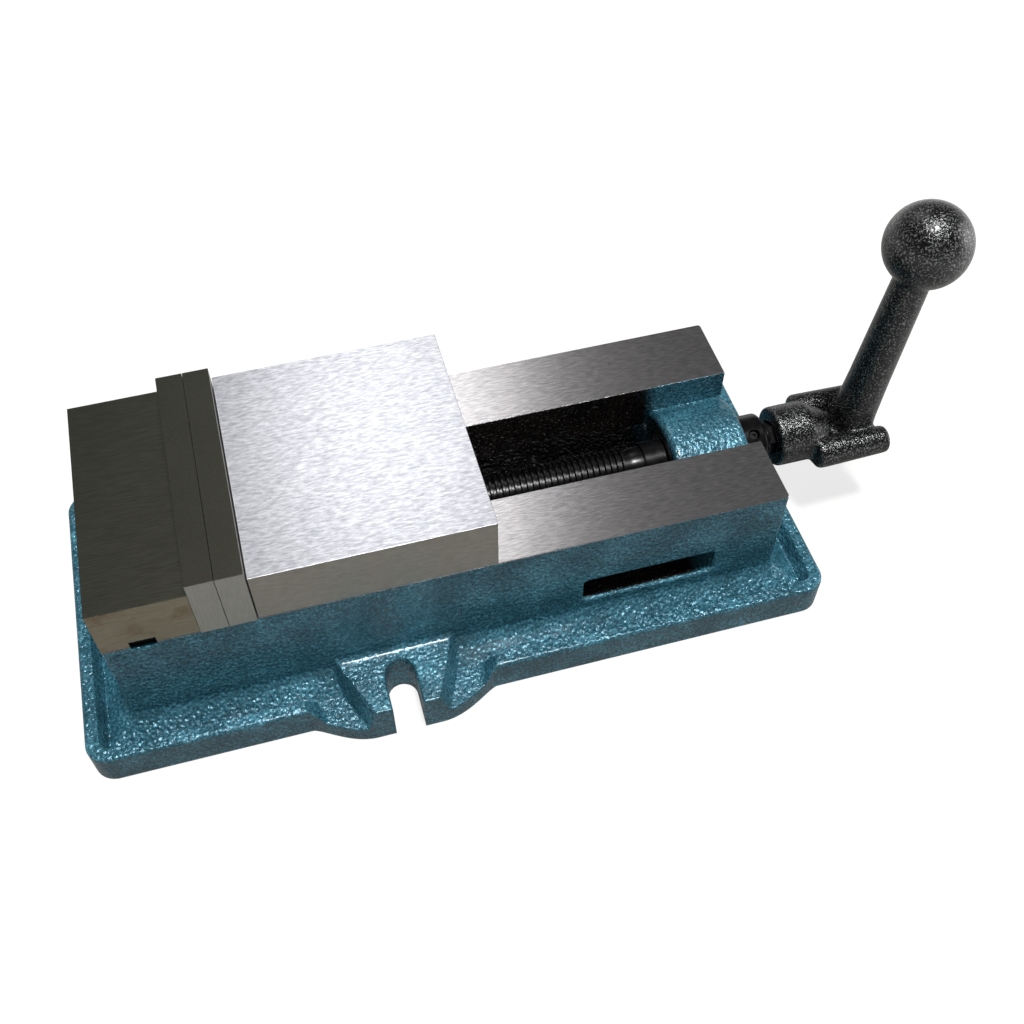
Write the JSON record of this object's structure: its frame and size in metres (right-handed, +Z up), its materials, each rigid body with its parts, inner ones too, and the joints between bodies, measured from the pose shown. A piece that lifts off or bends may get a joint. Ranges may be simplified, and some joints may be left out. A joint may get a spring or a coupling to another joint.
{
  "type": "machine vise",
  "caption": "Low machine vise on a flanged base with clamp lugs, ground rails, steel jaws, a lead screw and a ball-ended crank.",
  "frame": {"origin": "on the flat underside of the base, midway between the two clamp slots, on the centreline", "axes": "+X along the lead screw towards the crank, +Z up, +Y towards the back clamp lug"},
  "size_m": [0.5591, 0.2342, 0.2313],
  "materials": {
    "hammertone_casting": "blue-green hammertone enamel on cast iron, with ground rails",
    "ground_dark_steel": "surface-ground tool steel",
    "ground_bright_steel": "surface-ground steel",
    "black_oxide": "oiled black oxide on steel",
    "bearing_steel": "polished bearing steel",
    "nut_iron": "machined ductile iron",
    "crank_paint": "black and silver vein paint on cast iron"
  },
  "bodies": {
    "base": {"bed_casting": "hammertone_casting", "clamp_lug_front": "hammertone_casting", "clamp_lug_back": "hammertone_casting", "flange_fixed_end": "hammertone_casting", "flange_crank_end": "hammertone_casting", "fixed_jaw": "ground_dark_steel", "fixed_jaw_key": "black_oxide", "fixed_jaw_bolt_front": "black_oxide", "fixed_jaw_bolt_back": "black_oxide", "fixed_jaw_plate": "ground_dark_steel", "fixed_plate_screw_front": "black_oxide", "fixed_plate_screw_back": "black_oxide", "bearing_housing_race": "bearing_steel"},
    "jaw": {"movable_jaw": "ground_bright_steel", "movable_jaw_plate": "ground_dark_steel", "movable_plate_screw_front": "black_oxide", "movable_plate_screw_back": "black_oxide", "lock_segment": "bearing_steel", "jaw_nut": "nut_iron", "jaw_adjust_screw": "black_oxide"},
    "screw": {"lead_screw": "black_oxide", "bearing_shaft_race": "bearing_steel", "thrust_collar": "black_oxide", "collar_set_screw": "bearing_steel"},
    "bearing_cage": {"bearing_ball_cage": "bearing_steel"},
    "crank": {"crank_handle": "crank_paint"}
  },
  "joints": [
    {"name": "screw_turn", "type": "hinge", "parent": "base", "child": "screw", "pos_m": [0.2, 0, 0.0573], "axis": [1, 0, 0], "range_deg": [0, 13500]},
    {"name": "jaw_slide", "type": "slide", "parent": "base", "child": "jaw", "axis": [1, 0, 0], "range_m": [0, 0.15]},
    {"name": "cage_turn", "type": "hinge", "parent": "base", "child": "bearing_cage", "pos_m": [0.2, 0, 0.0573], "axis": [1, 0, 0], "range_deg": [0, 6750]},
    {"name": "crank_pull", "type": "slide", "parent": "screw", "child": "crank", "axis": [1, 0, 0], "range_m": [0, 0.025]}
  ],
  "couplings": [
    {"joint": "jaw_slide", "follows": "screw_turn", "m_per_rad": 0.00063661},
    {"joint": "cage_turn", "follows": "screw_turn", "ratio": 0.49999}
  ]
}
